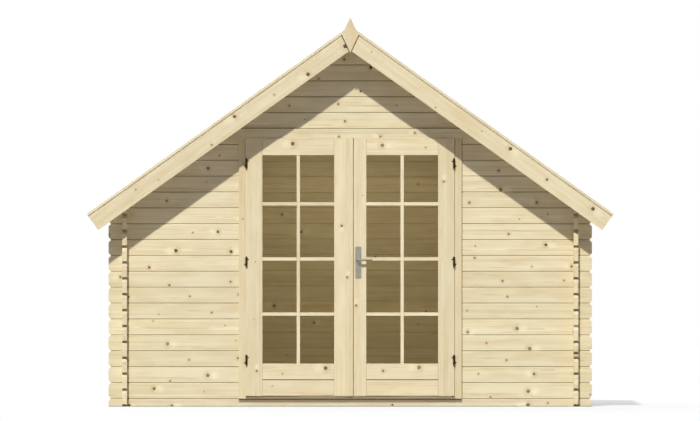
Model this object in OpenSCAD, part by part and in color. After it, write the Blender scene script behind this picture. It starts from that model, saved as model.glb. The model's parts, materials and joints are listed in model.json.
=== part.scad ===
// Log summerhouse with a gabled board roof and glazed double doors.
// Millimetres, +Z up. The front faces -Y and the origin lies on the ground under the middle of the roof.

/* [House] */
// Width over the outer faces of the side walls
house_w = 3300; // [2900:10:3600]
// Depth over the outer faces of the front and back walls
house_d = 3000; // [2400:10:3200]

/* [Logs] */
// Height that one log covers
log_cover = 115; // [105:1:125]
// Thickness of a log
log_t = 34; // [28:1:40]
// Gap between stacked logs, and between crossing logs
log_gap = 0.4; // [0.3:0.1:0.6]
// Length of the log ends past the crossing wall
log_overrun = 100; // [70:5:140]
// Chamfer on the corners of the log ends
end_chamfer = 18; // [8:1:24]
// Chamfer along the log faces at each seam
seam_chamfer = 4; // [2:0.5:6]
// Width of the tongue on top of a log
tongue_w = 12; // [8:1:14]
// Height of that tongue
tongue_h = 8; // [5:1:10]
// Least height of the bevelled log that carries the eaves
top_log_min = 40; // [36:1:60]

/* [Roof] */
// Height of the ridge at the top of the roof boards
ridge_z = 2754; // [2700:1:2850]
// Slope of the roof in degrees
roof_slope = 35.5; // [33:0.5:38]
// Thickness of the roof boards
roof_t = 19; // [16:1:24]
// Reach of the roof past the side walls, measured level
eaves_reach = 255; // [220:5:300]
// Reach of the bargeboards past the front wall
front_reach = 280; // [220:5:340]
// Reach of the bargeboards past the back wall
back_reach = 180; // [150:5:300]
// Reach of the roof boards past the bargeboards
roof_lap = 8; // [4:1:12]
// Width of a purlin
purlin_w = 44; // [34:1:60]
// Height of a purlin on its upper side
purlin_h = 145; // [130:1:150]
// Log course on which the two side purlins lie
purlin_course = 17; // [16:1:18]
// Width of the eaves battens along the slope
batten_w = 45; // [30:1:70]
// Thickness of the eaves battens
batten_t = 28; // [18:1:45]

/* [Gable trim] */
// Width of the bargeboards at the front
barge_w = 125; // [110:1:140]
// Width of the bargeboards at the back
back_barge_w = 98; // [80:1:140]
// Thickness of the bargeboards
barge_t = 18; // [15:1:25]
// Width of the lozenge finial
finial_w = 120; // [90:2:150]
// Height of the lozenge finial
finial_h = 254; // [220:2:300]
// Rise of the finial's tip above the ridge
finial_rise = 61; // [40:1:80]
// Reach of the finial past the bargeboards
finial_proud = 10; // [9:1:16]
// Gap between the finial and the ends of the bargeboards
finial_gap = 8; // [4:0.5:11]

/* [Floor] */
// Thickness of the floor boards
floor_t = 19; // [16:1:26]
// Width of a floor bearer
bearer_w = 58; // [45:1:75]
// Number of floor bearers
bearer_count = 8; // [8:1:10]
// Expansion gap round the floor
floor_gap = 5; // [3:1:10]

/* [Door frame] */
// Width over the door frame
frame_w = 1614; // [1560:2:1680]
// Log courses that the doorway cuts through
door_courses = 17; // [16:1:17]
// Face width of a door post
post_face = 51; // [45:1:60]
// Thickness of the frame lips outside and inside the wall
frame_lip = 18; // [14:1:24]
// Depth of the groove in a post that takes the log ends
groove_d = 20; // [14:1:24]
// Height of the head of the frame
head_h = 71; // [60:1:90]
// Reach of the head past each post
head_ear = 22; // [0:1:30]
// Least room between the ends of the head and the roof boards
head_room = 60; // [20:5:100]
// Overlap of the door stop behind a leaf
stop_lap = 12; // [8:1:18]
// Thickness of the threshold
sill_t = 14; // [10:1:18]
// Depth of the threshold's apron below the door posts
apron_h = 22; // [16:1:40]
// Thickness of the apron
apron_t = 6; // [4:1:10]

/* [Door leaves] */
// Thickness of a leaf
leaf_t = 40; // [36:1:46]
// Reach of a leaf's face past the door posts
leaf_proud = 10; // [6:1:14]
// Gap between a leaf and the post beside it
leaf_side_gap = 9; // [7:0.5:11]
// Gap over and under a leaf
leaf_end_gap = 5.6; // [5:0.2:8]
// Gap between a leaf and the door stop behind it
leaf_stop_gap = 5; // [5:0.5:8]
// Gap between the faces of the two leaves
meet_gap = 5.4; // [5.2:0.2:8]
// Distance of that gap from the middle of the door, to the right
meet_x = 22.5; // [16:0.5:26]
// Bevel on the meeting edges, over the thickness of a leaf
meet_bevel = 1.5; // [1.4:0.1:3]
// Width of the hinge stiles
hinge_stile = 111; // [95:1:125]
// Edge of the glass nearest to the middle of the door
glass_in = 116; // [105:1:130]
// Height of the top rail
top_rail_h = 117; // [95:1:135]
// Height of each of the two boards that make the bottom rail
bottom_board_h = 117; // [95:1:130]
// Chamfer on the long edges of the rails
rail_chamfer = 3; // [1:0.5:4]
// Width of the groove where the two boards of the bottom rail meet
joint_groove_w = 6; // [3:0.5:9]
// Depth of that groove
joint_groove_d = 7; // [4:0.5:10]
// Width of the cover strip on the left leaf
strip_w = 50; // [40:1:60]
// Thickness of the cover strip
strip_t = 6; // [4:1:9]
// Thickness of the glass
glass_t = 4; // [3:0.5:6]
// Depth of the grooves that hold the glass
glass_lap = 10; // [6:1:14]

/* [Hinges and handle] */
// Diameter of a hinge barrel
barrel_d = 16; // [14:1:18]
// Length of a hinge barrel
barrel_len = 68; // [56:1:80]
// Distance of the top hinge below the top of a leaf
hinge_drop = 176; // [120:1:240]
// Distance of the bottom hinge above the bottom of a leaf
hinge_rise = 259; // [160:1:280]
// Diameter of a hinge pin
pin_d = 7; // [6:0.5:8]
// Diameter of the studs that fix a hinge
stud_d = 7; // [6:0.5:8]
// Length of a hinge stud from the middle of the barrel
stud_len = 48; // [40:1:52]
// Width of a handle plate
plate_w = 44; // [36:1:50]
// Height of a handle plate
plate_h = 224; // [210:1:250]
// Thickness of a handle plate
plate_t = 8; // [6:1:10]
// Middle of the handle, right of the middle of the door
handle_x = 58; // [52:1:66]
// Height of the lever above the ground
lever_z = 1062; // [1000:1:1090]
// Height of the lever above the middle of the plates
lever_up = 16; // [0:1:30]
// Diameter of the lever's neck
neck_d = 17; // [14:1:20]
// Distance of the lever's arm from the plate
neck_len = 36; // [30:1:45]
// Diameter of the lever's arm
arm_d = 16; // [12:1:17]
// Length of the lever from its axis to its tip
arm_len = 104; // [60:1:120]
// Diameter of the spindle
spindle_d = 9; // [8:0.5:10]
// Distance of the lock cylinder below the lever
lock_drop = 72; // [65:1:80]
// Diameter of the lock cylinder's barrel
lock_d = 17; // [16:0.5:18]
// Width of the foot under that barrel
lock_foot_w = 10; // [9:0.5:11]
// Height of the lock cylinder, barrel and foot together
lock_h = 33; // [30:0.5:36]
// Reach of the lock cylinder past the plates
lock_proud = 3; // [1:0.5:5]

/* [Hidden] */
$fn = 48;

// Clearance where one piece seats on or in another
seat = 0.3;
// Running clearance round pins, spindles and studs
run_fit = 0.1;
// Overlength of a cutter past the face that it cuts
past = 5;

// Colours as the photograph shows them
spruce = [0.90, 0.84, 0.68];
spruce_dark = [0.84, 0.77, 0.60];
hardwood = [0.60, 0.53, 0.42];
pane = [0.48, 0.42, 0.30, 0.6];
dark_iron = [0.22, 0.18, 0.14];
grey_metal = [0.63, 0.62, 0.58];

// Roof lines
tan_s = tan(roof_slope);
cos_s = cos(roof_slope);
sin_s = sin(roof_slope);
half_w = house_w / 2;
eave_x = half_w + eaves_reach;
function roof_top(x) = ridge_z - abs(x) * tan_s;
function roof_under(x) = roof_top(x) - roof_t / cos_s;
// A point at the eaves: up the slope by along, and square into the roof by deep
function eave_point(along, deep) =
    [eave_x - along * cos_s - deep * sin_s, roof_top(eave_x) + along * sin_s - deep * cos_s];

// Places along Y
front_end = front_reach + max(roof_lap, finial_proud);
back_end = back_reach + max(roof_lap, finial_proud);
y_front = (front_end - back_end - house_d) / 2;
y_back = y_front + house_d;
y_front_barge = y_front - front_reach;
y_back_barge = y_back + back_reach;

// Log courses: the front and back walls start with a half log, the side walls with a whole one
half_log = log_cover / 2;
quarter_log = log_cover / 4;
function seam(course) = half_log + course * log_cover;
inner_x = half_w - log_t;
plate_z = roof_under(half_w) - seat;
side_courses = floor((plate_z - top_log_min) / log_cover);
ridge_course = round((roof_under(0) - purlin_h - half_log) / log_cover);
purlin_z = seam(purlin_course) + log_gap / 2;
purlin_x = (roof_under(0) - seat - purlin_z - purlin_h) / tan_s;
ridge_purlin_z = seam(ridge_course) + log_gap / 2;

// Floor and doorway
floor_z = half_log - seat - floor_t;
frame_half = frame_w / 2;
post_in = frame_half - post_face;
sill_top = half_log + seat + sill_t;
// The doorway stays below the roof at the ends of its head
room_courses = floor((roof_under(frame_half + head_ear) - head_room - half_log) / log_cover);
doorway_courses = min(door_courses, room_courses);
head_top = seam(doorway_courses) - seat;
head_z = head_top - head_h;
leaf_z0 = sill_top + leaf_end_gap;
leaf_z1 = head_z - leaf_end_gap;
leaf_out = post_in - leaf_side_gap;
leaf_y0 = y_front - frame_lip - leaf_proud;
leaf_y1 = leaf_y0 + leaf_t;
stop_y = leaf_y1 + leaf_stop_gap;
stop_in = leaf_out - stop_lap;
frame_back = max(y_front + log_t + frame_lip, stop_y + frame_lip);
glass_out = leaf_out - hinge_stile;
glass_z0 = leaf_z0 + 2 * bottom_board_h;
glass_z1 = leaf_z1 - top_rail_h;
glass_y = (leaf_y0 + leaf_y1) / 2;
// Meeting edge of a leaf's face, measured from the middle of the door towards its own hinges
function meeting_edge(side) = meet_gap / 2 + side * meet_x;

// Hinges stand in front of the gap between leaf and post
barrel_r = barrel_d / 2;
hinge_x = post_in - leaf_side_gap / 2;
hinge_y = leaf_y0 - barrel_r - 2 * run_fit;
hinge_top = leaf_z1 - hinge_drop;
hinge_bottom = leaf_z0 + hinge_rise;
hinge_heights = [hinge_bottom, (hinge_bottom + hinge_top) / 2, hinge_top];
knuckle_len = (barrel_len - log_gap) / 2;
// Angles of the studs, from the line of the wall: into the post and into the leaf
frame_stud_angle = 53;
leaf_stud_angle = 148;

// Timber wall

// Cross-section of a log across the wall, with a tongue above and a groove below
module log_section(bottom, top, grooved, tongued) {
    mid = log_t / 2;
    tongue = tongue_w / 2;
    groove = tongue + log_gap;
    c = seam_chamfer;
    polygon(concat(
        [[c, bottom]],
        grooved ? [[mid - groove, bottom], [mid - groove, bottom + tongue_h],
                   [mid + groove, bottom + tongue_h], [mid + groove, bottom]] : [],
        [[log_t - c, bottom], [log_t, bottom + c], [log_t, top - c], [log_t - c, top]],
        tongued ? [[mid + tongue, top], [mid + tongue, top + tongue_h],
                   [mid - tongue, top + tongue_h], [mid - tongue, top]] : [],
        [[c, top], [0, top - c], [0, bottom + c]]));
}

// Side view of a log, with its free ends chamfered; start and end say how much
module log_outline(from, to, bottom, top, start, end, foot) {
    low_start = foot ? start : 0;
    low_end = foot ? end : 0;
    polygon(concat(
        [[from + low_start, bottom], [to - low_end, bottom]],
        low_end > 0 ? [[to, bottom + low_end]] : [],
        [[to, top - end], [to - end - tongue_h, top + tongue_h],
         [from + start + tongue_h, top + tongue_h], [from, top - start]],
        low_start > 0 ? [[from, bottom + low_start]] : []));
}

// One log along X with its outer face at y = 0: notched over and under at the crossings
module wall_log(from, to, z0, z1, crossings, start = end_chamfer, end = end_chamfer,
                grooved = true, tongued = true) {
    bottom = grooved ? z0 + log_gap / 2 : z0;
    top = z1 - log_gap / 2;
    notch_w = log_t + 2 * log_gap;
    difference() {
        intersection() {
            translate([from, 0, 0]) rotate([90, 0, 90])
                linear_extrude(to - from) log_section(bottom, top, grooved, tongued);
            translate([0, log_t, 0]) rotate([90, 0, 0])
                linear_extrude(log_t) log_outline(from, to, bottom, top, start, end, grooved);
        }
        for (x = crossings) {
            if (tongued)
                translate([x - notch_w / 2, -past, z1 - quarter_log - log_gap / 2])
                    cube([notch_w, log_t + 2 * past, quarter_log + tongue_h + past]);
            if (grooved)
                translate([x - notch_w / 2, -past, z0 - past])
                    cube([notch_w, log_t + 2 * past, quarter_log + log_gap / 2 + past]);
        }
    }
}

// All the room under the roof boards, from end to end of the roof
module under_roof() {
    reach = eave_x + past;
    length = house_d + front_end + back_end;
    translate([0, y_back + back_end, 0]) rotate([90, 0, 0]) linear_extrude(length)
        polygon([[-reach, -past], [reach, -past], [reach, roof_under(reach) - seat],
                 [0, roof_under(0) - seat], [-reach, roof_under(reach) - seat]]);
}

// Logs along X between two heights of the front or back wall, in courses first to last
module gable_courses(first, last, from, to, start = end_chamfer, end = end_chamfer) {
    cross_x = half_w - log_t / 2;
    for (course = [first:last]) {
        crossing = course < side_courses;
        reach = inner_x - log_gap;
        left = crossing ? from : max(from, -reach);
        right = crossing ? to : min(to, reach);
        peak = course == ridge_course;
        wall_log(left, right, seam(course), peak ? ridge_z + log_cover : seam(course + 1),
            crossing ? [for (x = [-cross_x, cross_x]) if (x > from && x < to) x] : [],
            crossing ? start : 0, crossing ? end : 0, true, !peak);
    }
}

// The notches in which the purlins lie
module purlin_seats() {
    for (side = [-1, 1]) side_purlin(side, seat);
    ridge(seat);
}

// Front or back wall courses cut to the roof line and notched for the purlins, with y at its outer face
module cut_wall(y) {
    difference() {
        intersection() {
            translate([0, y, 0]) children();
            under_roof();
        }
        purlin_seats();
    }
}

log_end = half_w + log_overrun;
door_log_end = frame_half - groove_d + log_gap;

module bottom_log(y) {
    cross_x = half_w - log_t / 2;
    translate([0, y, 0])
        wall_log(-log_end, log_end, 0, half_log, [-cross_x, cross_x], grooved = false);
}

// The bottom log has no tongue where the door frame and the threshold stand on it
module front_bottom_log() {
    color(spruce) difference() {
        bottom_log(y_front);
        translate([-door_log_end, y_front - past, half_log - log_gap / 2])
            cube([2 * door_log_end, log_t + 2 * past, tongue_h + past]);
    }
}

module front_wall_left() {
    color(spruce) cut_wall(y_front) gable_courses(0, doorway_courses - 1, -log_end, -door_log_end, end = 0);
}

module front_wall_right() {
    color(spruce) cut_wall(y_front) gable_courses(0, doorway_courses - 1, door_log_end, log_end, start = 0);
}

module front_gable() {
    color(spruce) cut_wall(y_front) gable_courses(doorway_courses, ridge_course, -log_end, log_end);
}

module back_wall() {
    color(spruce) {
        bottom_log(y_back - log_t);
        cut_wall(y_back - log_t) gable_courses(0, doorway_courses - 1, -log_end, log_end);
    }
}

module back_gable() {
    color(spruce) cut_wall(y_back - log_t) gable_courses(doorway_courses, ridge_course, -log_end, log_end);
}

// A side wall, with x at the face that lies further along +X
module side_wall(x) {
    crossings = [y_front + log_t / 2, y_back - log_t / 2];
    intersection() {
        translate([x, 0, 0]) rotate([0, 0, 90])
            for (course = [0:side_courses]) {
                plate = course == side_courses;
                top = plate ? plate_z + log_cover : (course + 1) * log_cover;
                wall_log(y_front - log_overrun, y_back + log_overrun, course * log_cover, top,
                    crossings, tongued = !plate);
            }
        under_roof();
        ground_up();
    }
}

// Everything above the ground
module ground_up() {
    translate([-log_end, y_front - front_end, 0])
        cube([2 * log_end, house_d + front_end + back_end, ridge_z]);
}

module left_wall() {
    color(spruce) side_wall(-inner_x);
}

module right_wall() {
    color(spruce) side_wall(half_w);
}

// Floor

module floor_bearers() {
    first = y_front + log_t + floor_gap;
    step = (house_d - 2 * log_t - 2 * floor_gap - bearer_w) / (bearer_count - 1);
    color(spruce_dark)
        for (i = [0:bearer_count - 1])
            translate([-inner_x + log_gap, first + i * step, 0])
                cube([2 * (inner_x - log_gap), bearer_w, floor_z]);
}

module floor() {
    color(spruce)
        translate([-inner_x + floor_gap, y_front + log_t + floor_gap, floor_z])
            cube([2 * (inner_x - floor_gap), house_d - 2 * (log_t + floor_gap), floor_t]);
}

// Roof

// A profile in the gable's plane, drawn in X and Z, from y0 to y1
module gable_extrude(y0, y1) {
    translate([0, y1, 0]) rotate([90, 0, 0]) linear_extrude(y1 - y0) children();
}

module on_side(side) {
    if (side < 0) mirror([1, 0, 0]) children();
    else children();
}

purlin_y0 = y_front_barge + barge_t;
purlin_y1 = y_back_barge - barge_t;

// Purlin with plumb sides and a top bevelled to the roof; grow widens it into its own seat
module side_purlin(side, grow = 0) {
    x0 = purlin_x - grow;
    x1 = purlin_x + purlin_w + grow;
    lift = seat - grow;
    bottom = purlin_z - (grow > 0 ? log_gap / 2 : 0);
    on_side(side) gable_extrude(purlin_y0, purlin_y1)
        polygon([[x0, bottom], [x1, bottom], [x1, roof_under(x1) - lift], [x0, roof_under(x0) - lift]]);
}

module ridge(grow = 0) {
    x = purlin_w / 2 + grow;
    lift = seat - grow;
    bottom = ridge_purlin_z - (grow > 0 ? log_gap / 2 : 0);
    gable_extrude(purlin_y0, purlin_y1)
        polygon([[-x, bottom], [x, bottom], [x, roof_under(x) - lift],
                 [0, roof_under(0) - lift], [-x, roof_under(x) - lift]]);
}

module ridge_purlin() {
    color(spruce) ridge();
}

module left_purlin() {
    color(spruce) side_purlin(-1);
}

module right_purlin() {
    color(spruce) side_purlin(1);
}

// Lozenge of the finial, grown by gap on every side
module lozenge(gap) {
    half = finial_w / 2;
    tall = finial_h / 2;
    edge = norm([half, tall]);
    wide = half + gap * edge / tall;
    high = tall + gap * edge / half;
    translate([0, ridge_z + finial_rise - tall])
        polygon([[-wide, 0], [0, -high], [wide, 0], [0, high]]);
}

// Room for both finials, at the ends of the ridge
module finial_room(gap) {
    gable_extrude(y_front_barge - finial_proud - past, y_front_barge + barge_t + seat) lozenge(gap);
    gable_extrude(y_back_barge - barge_t - seat, y_back_barge + finial_proud + past) lozenge(gap);
}

module roof_side(side) {
    difference() {
        on_side(side) gable_extrude(y_front_barge - roof_lap, y_back_barge + roof_lap)
            polygon([[seat, roof_top(seat)], eave_point(0, 0),
                     eave_point(0, roof_t), [seat, roof_under(seat)]]);
        finial_room(seat);
    }
}

module roof_left() {
    color(spruce) roof_side(-1);
}

module roof_right() {
    color(spruce) roof_side(1);
}

module eaves_batten(side) {
    near = roof_t + seat;
    far = near + batten_t;
    on_side(side) gable_extrude(purlin_y0, purlin_y1)
        polygon([eave_point(0, near), eave_point(batten_w, near),
                 eave_point(batten_w, far), eave_point(0, far)]);
}

module left_eaves_batten() {
    color(spruce) eaves_batten(-1);
}

module right_eaves_batten() {
    color(spruce) eaves_batten(1);
}

// Bargeboard under the edge of the roof boards, cut square at the eaves and to the finial at the ridge
module bargeboard(side, y0, width) {
    near = roof_t + seat;
    far = near + width;
    on_side(side) gable_extrude(y0, y0 + barge_t) difference() {
        polygon([[0, ridge_z - near / cos_s], eave_point(0, near),
                 eave_point(0, far), [0, ridge_z - far / cos_s]]);
        lozenge(finial_gap);
    }
}

module front_left_bargeboard() {
    color(spruce) bargeboard(-1, y_front_barge, barge_w);
}

module front_right_bargeboard() {
    color(spruce) bargeboard(1, y_front_barge, barge_w);
}

module back_left_bargeboard() {
    color(spruce) bargeboard(-1, y_back_barge - barge_t, back_barge_w);
}

module back_right_bargeboard() {
    color(spruce) bargeboard(1, y_back_barge - barge_t, back_barge_w);
}

module front_finial() {
    color(spruce_dark) gable_extrude(y_front_barge - finial_proud, y_front_barge + barge_t) lozenge(0);
}

module back_finial() {
    color(spruce_dark) gable_extrude(y_back_barge - barge_t, y_back_barge + finial_proud) lozenge(0);
}

// Door frame

// Hinge studs on one side, from the barrel into the post or the leaf; grow widens them into their holes
module hinge_studs(side, angle, height, grow = 0) {
    on_side(side)
        for (z = hinge_heights)
            translate([hinge_x, hinge_y, z + height])
                rotate([0, 0, angle]) rotate([0, 90, 0])
                    cylinder(d = stud_d + 2 * grow, h = stud_len + grow);
}

frame_stud_z = -(knuckle_len + log_gap) / 2;
leaf_stud_z = (knuckle_len + log_gap) / 2;

// Post with a groove for the log ends and a stop behind the leaf
module door_post(side) {
    face = y_front - frame_lip;
    wall0 = y_front - seat;
    wall1 = y_front + log_t + seat;
    groove_x = frame_half - groove_d;
    difference() {
        on_side(side) difference() {
            translate([0, 0, half_log + seat]) linear_extrude(head_top - half_log - seat)
                polygon([[post_in, face], [frame_half, face], [frame_half, wall0], [groove_x, wall0],
                         [groove_x, wall1], [frame_half, wall1], [frame_half, frame_back],
                         [stop_in, frame_back], [stop_in, stop_y], [post_in, stop_y]]);
            translate([post_in - past, face - past, head_z - seat])
                cube([post_face + 2 * past, frame_lip + past, head_h + past]);
        }
        hinge_studs(side, frame_stud_angle, frame_stud_z, run_fit);
    }
}

module door_post_left() {
    color(spruce) door_post(-1);
}

module door_post_right() {
    color(spruce) door_post(1);
}

// Head between the posts, with a face board across their tops and a stop behind the leaves
module door_head() {
    face_half = frame_half + head_ear;
    core_half = post_in - seat;
    stop_half = stop_in - seat;
    stop_z = leaf_z1 - stop_lap;
    color(spruce) {
        translate([-face_half, y_front - frame_lip, head_z])
            cube([2 * face_half, frame_lip - seat, head_h]);
        translate([-core_half, y_front - frame_lip, head_z])
            cube([2 * core_half, stop_y - y_front + frame_lip, head_h]);
        translate([-stop_half, stop_y, stop_z])
            cube([2 * stop_half, frame_back - stop_y, head_top - stop_z]);
    }
}

// Threshold on the bottom log between the posts, with an apron down its face
module threshold() {
    sill_z = half_log + seat;
    color(hardwood) {
        translate([-post_in + seat, y_front - frame_lip, sill_z])
            cube([2 * (post_in - seat), frame_lip + stop_y - y_front - seat, sill_t]);
        translate([-stop_in + seat, y_front - frame_lip, sill_z])
            cube([2 * (stop_in - seat), frame_back - y_front + frame_lip, sill_t]);
        translate([-post_in + seat, y_front - apron_t, half_log - apron_h])
            cube([2 * (post_in - seat), apron_t - seat, apron_h + sill_t]);
        translate([-frame_half, y_front - apron_t, half_log - apron_h])
            cube([frame_w, apron_t - seat, apron_h]);
    }
}

// Lower half of each hinge, with the pin that carries the leaf
module frame_hinges(side) {
    on_side(side)
        for (z = hinge_heights)
            translate([hinge_x, hinge_y, z - log_gap / 2 - knuckle_len]) {
                cylinder(d = barrel_d, h = knuckle_len);
                cylinder(d = pin_d, h = 2 * knuckle_len - past);
            }
    hinge_studs(side, frame_stud_angle, frame_stud_z);
}

module frame_hinges_left() {
    color(dark_iron) frame_hinges(-1);
}

module frame_hinges_right() {
    color(dark_iron) frame_hinges(1);
}

// Door leaves, drawn on the right side and mirrored for the left

// Upper half of each hinge, bored for the pin
module leaf_hinges(side) {
    difference() {
        union() {
            on_side(side)
                for (z = hinge_heights)
                    translate([hinge_x, hinge_y, z + log_gap / 2]) cylinder(d = barrel_d, h = knuckle_len);
            hinge_studs(side, leaf_stud_angle, leaf_stud_z);
        }
        on_side(side)
            for (z = hinge_heights)
                translate([hinge_x, hinge_y, z - past])
                    cylinder(d = pin_d + 2 * run_fit, h = knuckle_len + log_gap);
    }
}

// The pane, grown by gap into its groove
module pane_block(side, gap) {
    x0 = glass_in - glass_lap - gap;
    z0 = glass_z0 - glass_lap - gap;
    on_side(side) translate([x0, glass_y - glass_t / 2 - gap, z0])
        cube([glass_out + glass_lap + gap - x0, glass_t + 2 * gap, glass_z1 + glass_lap + gap - z0]);
}

module hinge_stile_of(side) {
    difference() {
        on_side(side) translate([glass_out, leaf_y0, leaf_z0])
            cube([hinge_stile, leaf_t, leaf_z1 - leaf_z0]);
        pane_block(side, seat);
        hinge_studs(side, leaf_stud_angle, leaf_stud_z, run_fit);
    }
}

// Stile at the meeting edge, which is bevelled so that each leaf swings clear of the other
module meeting_stile_of(side) {
    edge = meeting_edge(side);
    difference() {
        on_side(side) translate([0, 0, leaf_z0]) linear_extrude(leaf_z1 - leaf_z0)
            polygon([[edge, leaf_y0], [glass_in, leaf_y0], [glass_in, leaf_y1], [edge + meet_bevel, leaf_y1]]);
        pane_block(side, seat);
    }
}

// A rail between the stiles with chamfered long edges
module rail(side, z0, z1) {
    c = rail_chamfer;
    difference() {
        on_side(side) translate([glass_in, 0, 0]) rotate([90, 0, 90]) linear_extrude(glass_out - glass_in)
            polygon([[leaf_y0 + c, z0], [leaf_y1 - c, z0], [leaf_y1, z0 + c], [leaf_y1, z1 - c],
                     [leaf_y1 - c, z1], [leaf_y0 + c, z1], [leaf_y0, z1 - c], [leaf_y0, z0 + c]]);
        pane_block(side, seat);
    }
}

module top_rail_of(side) {
    rail(side, glass_z1, leaf_z1);
}

// Two boards edge to edge, with a groove along their joint on the outer face
module bottom_rail_of(side) {
    joint = leaf_z0 + bottom_board_h;
    difference() {
        union() {
            rail(side, leaf_z0, joint - log_gap / 2);
            rail(side, joint + log_gap / 2, glass_z0);
        }
        on_side(side) translate([glass_in - past, leaf_y0 - past, joint - joint_groove_w / 2])
            cube([glass_out - glass_in + 2 * past, joint_groove_d + past, joint_groove_w]);
    }
}

module left_door_hinge_stile() {
    color(spruce) hinge_stile_of(-1);
}

module left_door_meeting_stile() {
    color(spruce) meeting_stile_of(-1);
}

// Strip along the meeting edge of the left leaf, flush with that edge
module left_door_cover_strip() {
    edge = meeting_edge(-1);
    c = strip_t / 2;
    color(spruce) on_side(-1) translate([0, 0, leaf_z0]) linear_extrude(leaf_z1 - leaf_z0)
        polygon([[edge, leaf_y0], [edge, leaf_y0 - strip_t], [edge + strip_w - c, leaf_y0 - strip_t],
                 [edge + strip_w, leaf_y0 - strip_t + c], [edge + strip_w, leaf_y0]]);
}

module left_door_top_rail() {
    color(spruce) top_rail_of(-1);
}

module left_door_bottom_rail() {
    color(spruce) bottom_rail_of(-1);
}

module left_door_glass() {
    color(pane) pane_block(-1, 0);
}

module left_door_hinges() {
    color(dark_iron) leaf_hinges(-1);
}

module right_door_hinge_stile() {
    color(spruce) hinge_stile_of(1);
}

module right_door_meeting_stile() {
    color(spruce) difference() {
        meeting_stile_of(1);
        along_spindle(leaf_y0 - past) cylinder(d = spindle_d + 4 * seat, h = leaf_t + 2 * past);
        across_leaf(leaf_y0 - past, leaf_y1 + past) lock_outline(seat);
    }
}

module right_door_top_rail() {
    color(spruce) top_rail_of(1);
}

module right_door_bottom_rail() {
    color(spruce) bottom_rail_of(1);
}

module right_door_glass() {
    color(pane) pane_block(1, 0);
}

module right_door_hinges() {
    color(dark_iron) leaf_hinges(1);
}

// Handle

// Places something drawn along +Z on the spindle's axis, running inwards from y
module along_spindle(y) {
    translate([handle_x, y, lever_z]) rotate([-90, 0, 0]) children();
}

// Places an outline, drawn with the lever's axis as its origin, from y0 to y1 through the leaf
module across_leaf(y0, y1) {
    translate([handle_x, y1, lever_z]) rotate([90, 0, 0]) linear_extrude(y1 - y0) children();
}

// Outline of the lock cylinder, grown by gap
module lock_outline(gap) {
    translate([0, -lock_drop]) {
        circle(d = lock_d + 2 * gap);
        translate([-lock_foot_w / 2 - gap, lock_d / 2 - lock_h - gap])
            square([lock_foot_w + 2 * gap, lock_h - lock_d / 2 + gap]);
    }
}

// Lock cylinder through both plates and the leaf, with a key slot in each end
module lock_cylinder() {
    key_w = 2.5;
    key_h = 9;
    key_depth = 12;
    y0 = leaf_y0 - plate_t - lock_proud;
    y1 = leaf_y1 + plate_t + lock_proud;
    difference() {
        across_leaf(y0, y1) lock_outline(0);
        for (slot = [[y0 - past, y0 + key_depth], [y1 - key_depth, y1 + past]])
            across_leaf(slot[0], slot[1])
                translate([0, -lock_drop]) square([key_w, key_h], center = true);
    }
}

// Long plate with round corners, a bore for the lever's neck and a hole for the lock cylinder
module handle_plate(y) {
    corner = 6;
    inset_w = plate_w / 2 - corner;
    inset_h = plate_h / 2 - corner;
    across_leaf(y, y + plate_t) difference() {
        translate([0, -lever_up]) union() {
            square([plate_w - 2 * corner, plate_h], center = true);
            square([plate_w, plate_h - 2 * corner], center = true);
            for (x = [-inset_w, inset_w], z = [-inset_h, inset_h]) translate([x, z]) circle(r = corner);
        }
        circle(d = neck_d + 2 * seat);
        lock_outline(seat);
    }
}

module handle_plates() {
    color(grey_metal) {
        handle_plate(leaf_y0 - plate_t);
        handle_plate(leaf_y1);
        lock_cylinder();
    }
}

// Neck, elbow and round-tipped arm on one face of the leaf; out is -1 outside and 1 inside
module lever_arm(face, out) {
    arm_y = face + out * (plate_t + neck_len);
    arm_end = handle_x + arm_len - arm_d / 2;
    along_spindle(min(face + out * seat, arm_y))
        cylinder(d = neck_d, h = plate_t + neck_len - seat);
    translate([handle_x, arm_y, lever_z]) sphere(d = neck_d);
    translate([handle_x, arm_y, lever_z]) rotate([0, 90, 0]) cylinder(d = arm_d, h = arm_end - handle_x);
    translate([arm_end, arm_y, lever_z]) sphere(d = arm_d);
}

spindle_y1 = leaf_y1 + plate_t + neck_len / 2;

// Outer lever with the spindle that passes through the leaf
module lever_outside() {
    color(grey_metal) {
        lever_arm(leaf_y0, -1);
        along_spindle(leaf_y0 - plate_t) cylinder(d = spindle_d, h = spindle_y1 - leaf_y0 + plate_t);
    }
}

// Inner lever, bored to slip over the end of the spindle
module lever_inside() {
    color(grey_metal) difference() {
        lever_arm(leaf_y1, 1);
        along_spindle(leaf_y1 - past)
            cylinder(d = spindle_d + 2 * run_fit, h = spindle_y1 - leaf_y1 + past + seat);
    }
}

floor_bearers();
floor();
front_bottom_log();
front_wall_left();
front_wall_right();
front_gable();
back_wall();
back_gable();
left_wall();
right_wall();
ridge_purlin();
left_purlin();
right_purlin();
roof_left();
roof_right();
left_eaves_batten();
right_eaves_batten();
front_left_bargeboard();
front_right_bargeboard();
back_left_bargeboard();
back_right_bargeboard();
front_finial();
back_finial();
door_post_left();
door_post_right();
door_head();
threshold();
frame_hinges_left();
frame_hinges_right();
left_door_hinge_stile();
left_door_meeting_stile();
left_door_cover_strip();
left_door_top_rail();
left_door_bottom_rail();
left_door_glass();
left_door_hinges();
right_door_hinge_stile();
right_door_meeting_stile();
right_door_top_rail();
right_door_bottom_rail();
right_door_glass();
right_door_hinges();
handle_plates();
lever_outside();
lever_inside();
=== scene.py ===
import json
import math

import bmesh
import bpy
from mathutils import Matrix, Vector


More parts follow.
